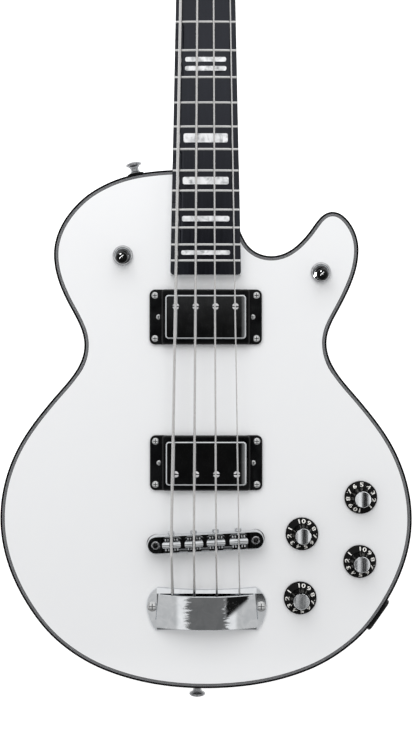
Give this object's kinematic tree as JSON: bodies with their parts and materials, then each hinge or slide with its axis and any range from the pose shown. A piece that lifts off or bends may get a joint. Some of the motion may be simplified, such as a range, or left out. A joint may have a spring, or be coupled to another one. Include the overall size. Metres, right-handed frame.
{
  "type": "electric bass guitar",
  "caption": "Single-cutaway short-scale electric bass guitar with bound body, covered pickups, adjustable bridge, arched tailpiece cover, skirted knobs and toggle switches.",
  "frame": {"origin": "on the back face of the body, under the end of the scale at the bridge, on the centre line", "axes": "+Z out of the front face, +Y along the neck to the headstock, +X to the thin-string side"},
  "size_m": [0.3594, 1.1216, 0.0657],
  "materials": {
    "white_lacquer": "white gloss lacquer over wood",
    "black_binding": "polished plastic ply",
    "white_binding": "polished plastic ply",
    "black_plastic": "glossy moulded plastic",
    "black_fretboard": "satin ebony-like board",
    "nickel_silver": "polished fret wire",
    "pearloid": "pearl-like celluloid",
    "bone_plastic": "polished nut blank",
    "black_lacquer": "black gloss lacquer",
    "steel": "zinc plated steel",
    "chrome": "bright chrome plate",
    "string_steel": "round wound nickel-plated steel",
    "felt": "black felt",
    "screw_steel": "nickel plated steel",
    "knob_plastic": "glossy moulded plastic"
  },
  "bodies": {
    "instrument": {"body": "white_lacquer", "neck": "white_lacquer", "binding_black": "black_binding", "binding_white": "white_binding", "back_covers": "black_plastic", "fretboard": "black_fretboard", "frets": "nickel_silver", "fret_markers": "pearloid", "nut": "bone_plastic", "headstock_veneer": "black_lacquer", "truss_rod": "steel", "truss_rod_cover": "black_plastic", "tuner_housings": "chrome", "strings": "string_steel", "pickup_rings": "black_plastic", "bridge_frame": "chrome", "bridge_posts": "chrome", "tailpiece_base": "chrome", "tailpiece_cover": "chrome", "pots": "steel", "toggle_switches": "chrome", "jack_plate": "black_plastic", "output_jack": "chrome", "strap_buttons": "chrome", "strap_washers": "felt", "screws": "screw_steel"},
    "control_knob_1": {"knob_1": "knob_plastic", "knob_spindle_1": "chrome"},
    "control_knob_2": {"knob_2": "knob_plastic", "knob_spindle_2": "chrome"},
    "control_knob_3": {"knob_3": "knob_plastic", "knob_spindle_3": "chrome"},
    "control_knob_4": {"knob_4": "knob_plastic", "knob_spindle_4": "chrome"},
    "toggle_1": {"toggle_lever_1": "chrome", "toggle_tip_1": "knob_plastic"},
    "toggle_2": {"toggle_lever_2": "chrome", "toggle_tip_2": "knob_plastic"},
    "key_1": {"tuner_key_1": "chrome"},
    "post_1": {"tuner_post_1": "chrome"},
    "key_2": {"tuner_key_2": "chrome"},
    "post_2": {"tuner_post_2": "chrome"},
    "key_3": {"tuner_key_3": "chrome"},
    "post_3": {"tuner_post_3": "chrome"},
    "key_4": {"tuner_key_4": "chrome"},
    "post_4": {"tuner_post_4": "chrome"},
    "saddle_block_1": {"saddle_1": "chrome"},
    "intonation_screw_1": {"saddle_screw_1": "chrome"},
    "saddle_block_2": {"saddle_2": "chrome"},
    "intonation_screw_2": {"saddle_screw_2": "chrome"},
    "saddle_block_3": {"saddle_3": "chrome"},
    "intonation_screw_3": {"saddle_screw_3": "chrome"},
    "saddle_block_4": {"saddle_4": "chrome"},
    "intonation_screw_4": {"saddle_screw_4": "chrome"},
    "pickup_1": {"pickup_cover_1": "chrome", "pickup_core_1": "black_plastic", "pickup_poles_1": "screw_steel"},
    "pickup_2": {"pickup_cover_2": "chrome", "pickup_core_2": "black_plastic", "pickup_poles_2": "screw_steel"}
  },
  "joints": [
    {"name": "knob_1_turn", "type": "hinge", "parent": "instrument", "child": "control_knob_1", "pos_m": [0.1352, 0.0264, 0.045], "axis": [0, 0, 1], "range_deg": [-160, 140]},
    {"name": "knob_2_turn", "type": "hinge", "parent": "instrument", "child": "control_knob_2", "pos_m": [0.0839, -0.0054, 0.045], "axis": [0, 0, 1], "range_deg": [0, 300]},
    {"name": "knob_3_turn", "type": "hinge", "parent": "instrument", "child": "control_knob_3", "pos_m": [0.1343, -0.0295, 0.045], "axis": [0, 0, 1], "range_deg": [0, 300]},
    {"name": "knob_4_turn", "type": "hinge", "parent": "instrument", "child": "control_knob_4", "pos_m": [0.0823, -0.0613, 0.045], "axis": [0, 0, 1], "range_deg": [0, 300]},
    {"name": "toggle_1_throw", "type": "hinge", "parent": "instrument", "child": "toggle_1", "pos_m": [-0.0723, 0.2372, 0.042], "axis": [-1, 0, 0], "range_deg": [0, 16]},
    {"name": "toggle_2_throw", "type": "hinge", "parent": "instrument", "child": "toggle_2", "pos_m": [0.1005, 0.2225, 0.042], "axis": [-1, 0, 0], "range_deg": [0, 16]},
    {"name": "tuner_key_1_turn", "type": "hinge", "parent": "instrument", "child": "key_1", "pos_m": [-0.025, 0.8287, 0.02661], "axis": [1, 0, 0], "continuous": true},
    {"name": "tuner_post_1_turn", "type": "hinge", "parent": "instrument", "child": "post_1", "pos_m": [-0.025, 0.84158, 0.04418], "axis": [0, 0.1219, 0.9925], "continuous": true},
    {"name": "tuner_key_2_turn", "type": "hinge", "parent": "instrument", "child": "key_2", "pos_m": [-0.025, 0.89619, 0.01833], "axis": [1, 0, 0], "continuous": true},
    {"name": "tuner_post_2_turn", "type": "hinge", "parent": "instrument", "child": "post_2", "pos_m": [-0.025, 0.90908, 0.03589], "axis": [0, 0.1219, 0.9925], "continuous": true},
    {"name": "tuner_key_3_turn", "type": "hinge", "parent": "instrument", "child": "key_3", "pos_m": [0.025, 0.89619, 0.01833], "axis": [1, 0, 0], "continuous": true},
    {"name": "tuner_post_3_turn", "type": "hinge", "parent": "instrument", "child": "post_3", "pos_m": [0.025, 0.90908, 0.03589], "axis": [0, 0.1219, 0.9925], "continuous": true},
    {"name": "tuner_key_4_turn", "type": "hinge", "parent": "instrument", "child": "key_4", "pos_m": [0.025, 0.8287, 0.02661], "axis": [1, 0, 0], "continuous": true},
    {"name": "tuner_post_4_turn", "type": "hinge", "parent": "instrument", "child": "post_4", "pos_m": [0.025, 0.84158, 0.04418], "axis": [0, 0.1219, 0.9925], "continuous": true},
    {"name": "saddle_screw_1_turn", "type": "hinge", "parent": "instrument", "child": "intonation_screw_1", "pos_m": [-0.0294, -0.01274, 0.056], "axis": [-0.0523, 0.9986, 0], "range_deg": [-1321.92, 1321.92]},
    {"name": "saddle_1_slide", "type": "slide", "parent": "instrument", "child": "saddle_block_1", "axis": [-0.0523, 0.9986, 0], "range_m": [-0.0017, 0.0017]},
    {"name": "saddle_screw_2_turn", "type": "hinge", "parent": "instrument", "child": "intonation_screw_2", "pos_m": [-0.01005, -0.01173, 0.056], "axis": [-0.0523, 0.9986, 0], "range_deg": [-1321.92, 1321.92]},
    {"name": "saddle_2_slide", "type": "slide", "parent": "instrument", "child": "saddle_block_2", "axis": [-0.0523, 0.9986, 0], "range_m": [-0.0017, 0.0017]},
    {"name": "saddle_screw_3_turn", "type": "hinge", "parent": "instrument", "child": "intonation_screw_3", "pos_m": [0.0089, -0.01073, 0.056], "axis": [-0.0523, 0.9986, 0], "range_deg": [-1321.92, 1321.92]},
    {"name": "saddle_3_slide", "type": "slide", "parent": "instrument", "child": "saddle_block_3", "axis": [-0.0523, 0.9986, 0], "range_m": [-0.0017, 0.0017]},
    {"name": "saddle_screw_4_turn", "type": "hinge", "parent": "instrument", "child": "intonation_screw_4", "pos_m": [0.0285, -0.00971, 0.056], "axis": [-0.0523, 0.9986, 0], "range_deg": [-1321.92, 1321.92]},
    {"name": "saddle_4_slide", "type": "slide", "parent": "instrument", "child": "saddle_block_4", "axis": [-0.0523, 0.9986, 0], "range_m": [-0.0017, 0.0017]},
    {"name": "pickup_1_height", "type": "slide", "parent": "instrument", "child": "pickup_1", "axis": [0, 0, 1], "range_m": [-0.004, 0.0015]},
    {"name": "pickup_2_height", "type": "slide", "parent": "instrument", "child": "pickup_2", "axis": [0, 0, 1], "range_m": [-0.004, 0.0015]}
  ],
  "couplings": [
    {"joint": "tuner_post_1_turn", "follows": "tuner_key_1_turn", "ratio": 0.05},
    {"joint": "tuner_post_2_turn", "follows": "tuner_key_2_turn", "ratio": 0.05},
    {"joint": "tuner_post_3_turn", "follows": "tuner_key_3_turn", "ratio": -0.05},
    {"joint": "tuner_post_4_turn", "follows": "tuner_key_4_turn", "ratio": -0.05},
    {"joint": "saddle_screw_1_turn", "follows": "saddle_1_slide", "rad_per_m": -12566},
    {"joint": "saddle_screw_2_turn", "follows": "saddle_2_slide", "rad_per_m": -12566},
    {"joint": "saddle_screw_3_turn", "follows": "saddle_3_slide", "rad_per_m": -12566},
    {"joint": "saddle_screw_4_turn", "follows": "saddle_4_slide", "rad_per_m": -12566}
  ]
}
